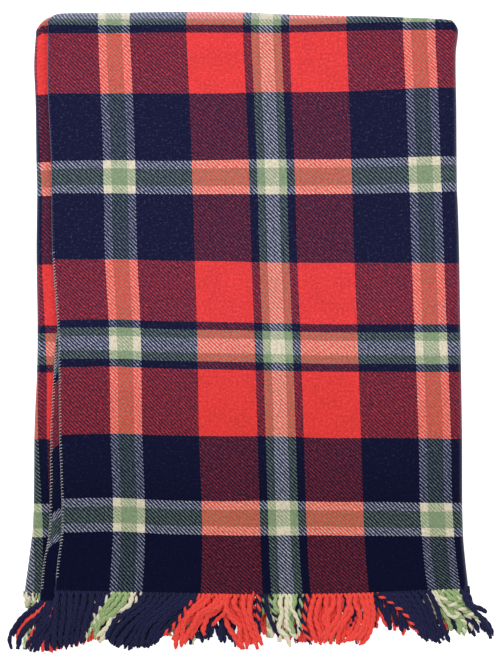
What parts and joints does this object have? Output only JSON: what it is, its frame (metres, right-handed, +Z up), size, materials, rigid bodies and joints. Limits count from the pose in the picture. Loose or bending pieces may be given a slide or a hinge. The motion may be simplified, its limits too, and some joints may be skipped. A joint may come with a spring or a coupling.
{
  "type": "folded throw blanket",
  "caption": "Tartan wool throw folded across and then in three lengthwise, with twisted fringe at the hem end; the side folds open flat.",
  "frame": {"origin": "centre of the folded throw's footprint, fringe included, on the surface it lies on", "axes": "+X towards the front flap's fold (the throw's right side), +Y along the length towards the cross fold, away from the fringe, +Z up through the layers"},
  "size_m": [0.6332, 0.8398, 0.0238],
  "materials": {
    "tartan_wool": "matte",
    "fringe_yarn": "matte",
    "edge_thread": "matte"
  },
  "bodies": {
    "base": {"bottom_panel_outer": "tartan_wool", "bottom_panel_inner": "tartan_wool", "bottom_cross_fold": "tartan_wool", "bottom_fringe_outer": "fringe_yarn", "bottom_fringe_inner": "fringe_yarn"},
    "right_fold": {"right_fold_outer": "tartan_wool", "right_fold_inner": "tartan_wool", "right_fold_corner": "tartan_wool", "right_fold_fringe": "fringe_yarn"},
    "front_flap": {"front_panel_outer": "tartan_wool", "front_panel_inner": "tartan_wool", "front_cross_fold": "tartan_wool", "front_fringe_outer": "fringe_yarn", "front_fringe_inner": "fringe_yarn", "front_selvedge_stitching_outer": "edge_thread", "front_selvedge_stitching_inner": "edge_thread"},
    "left_fold": {"left_fold_outer": "tartan_wool", "left_fold_inner": "tartan_wool", "left_fold_corner": "tartan_wool", "left_fold_fringe": "fringe_yarn"},
    "tucked_flap": {"tucked_panel_outer": "tartan_wool", "tucked_panel_inner": "tartan_wool", "tucked_cross_fold": "tartan_wool", "tucked_fringe_outer": "fringe_yarn", "tucked_fringe_inner": "fringe_yarn", "tucked_selvedge_stitching_outer": "edge_thread", "tucked_selvedge_stitching_inner": "edge_thread"}
  },
  "joints": [
    {"name": "right_fold_opens", "type": "hinge", "parent": "base", "child": "right_fold", "pos_m": [0.27174, -0.00005, 0.0054], "axis": [-0.0171, 0.9999, 0], "range_deg": [0, 90], "deforming": ["right_fold_outer", "right_fold_inner", "right_fold_corner", "right_fold_fringe"]},
    {"name": "front_flap_opens", "type": "hinge", "parent": "right_fold", "child": "front_flap", "pos_m": [0.27174, -0.00005, 0.0186], "axis": [-0.0171, 0.9999, 0], "range_deg": [0, 90], "deforming": ["front_fringe_outer", "front_fringe_inner"]},
    {"name": "left_fold_opens", "type": "hinge", "parent": "base", "child": "left_fold", "pos_m": [-0.2804, -0.00005, 0.00275], "axis": [-0.0075, -1, 0], "range_deg": [0, 90], "deforming": ["left_fold_outer", "left_fold_inner", "left_fold_corner", "left_fold_fringe"]},
    {"name": "tucked_flap_opens", "type": "hinge", "parent": "left_fold", "child": "tucked_flap", "pos_m": [-0.2804, -0.00005, 0.01265], "axis": [-0.0075, -1, 0], "range_deg": [0, 90], "deforming": ["tucked_fringe_outer", "tucked_fringe_inner"]}
  ],
  "couplings": [
    {"joint": "front_flap_opens", "follows": "right_fold_opens", "ratio": 1},
    {"joint": "left_fold_opens", "follows": "right_fold_opens", "ratio": 1},
    {"joint": "tucked_flap_opens", "follows": "right_fold_opens", "ratio": 1}
  ]
}
